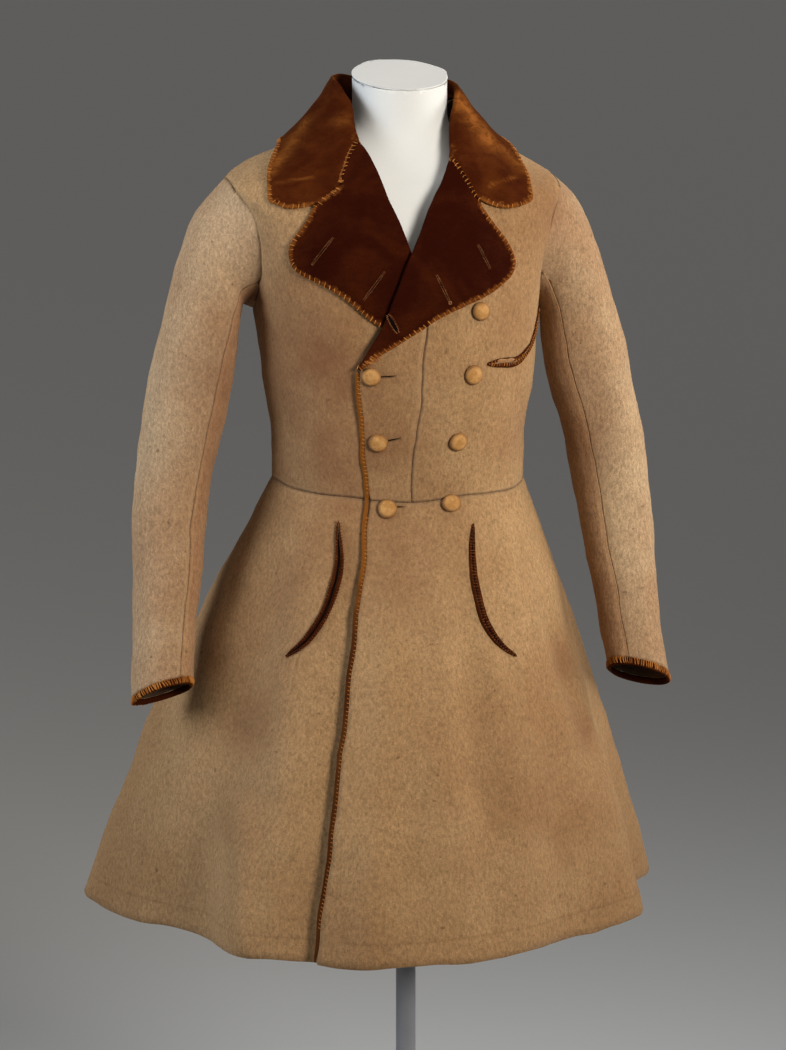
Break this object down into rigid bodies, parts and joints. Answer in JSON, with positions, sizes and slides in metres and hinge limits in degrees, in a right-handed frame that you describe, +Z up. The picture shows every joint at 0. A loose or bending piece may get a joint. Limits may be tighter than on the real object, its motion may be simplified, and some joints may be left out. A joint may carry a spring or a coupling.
{
  "type": "frock coat on dress form stand",
  "caption": "Double-breasted knee-length frock coat with velvet collar and lapels, worn by a limbless dress form on a round-based pole.",
  "frame": {"origin": "on the floor, at the centre of the underside of the stand's round base", "axes": "+Z up; the coat faces -Y and its own left side is towards +X"},
  "size_m": [0.7203, 0.6779, 1.5506],
  "materials": {
    "wool": "felted woollen cloth with a short dull nap",
    "collar_velvet": "cut pile, crushed and rubbed lighter in places",
    "lapel_velvet": "cut pile, dark, with worn edges",
    "edge_velvet": "cut pile worn to its golden ground",
    "covered_button": "smooth cloth drawn over a domed mould",
    "form_cloth": "taut off-white jersey",
    "grey_metal": "satin grey powder coat"
  },
  "bodies": {
    "root": {"forepart_left": "wool", "forepart_right": "wool", "lapel_strip_left": "wool", "side_body_left": "wool", "side_body_right": "wool", "back_left": "wool", "back_right": "wool", "skirt_left": "wool", "skirt_right": "wool", "back_skirt_left": "wool", "back_skirt_right": "wool", "top_sleeve_left": "wool", "top_sleeve_right": "wool", "under_sleeve_left": "wool", "under_sleeve_right": "wool", "collar": "collar_velvet", "lapel_left": "lapel_velvet", "lapel_right": "lapel_velvet", "front_binding_bodice": "edge_velvet", "front_binding_skirt": "edge_velvet", "skirt_pocket_left": "edge_velvet", "skirt_pocket_right": "edge_velvet", "chest_pocket": "edge_velvet", "cuff_edge_left": "edge_velvet", "cuff_edge_right": "edge_velvet", "button_left_1": "covered_button", "button_left_2": "covered_button", "button_left_3": "covered_button", "button_left_4": "covered_button", "button_right_2": "covered_button", "button_right_3": "covered_button", "button_right_4": "covered_button", "form_torso": "form_cloth", "form_neck_lid": "form_cloth", "stand_base": "grey_metal", "stand_pole": "grey_metal", "stand_flange": "grey_metal"}
  },
  "joints": []
}
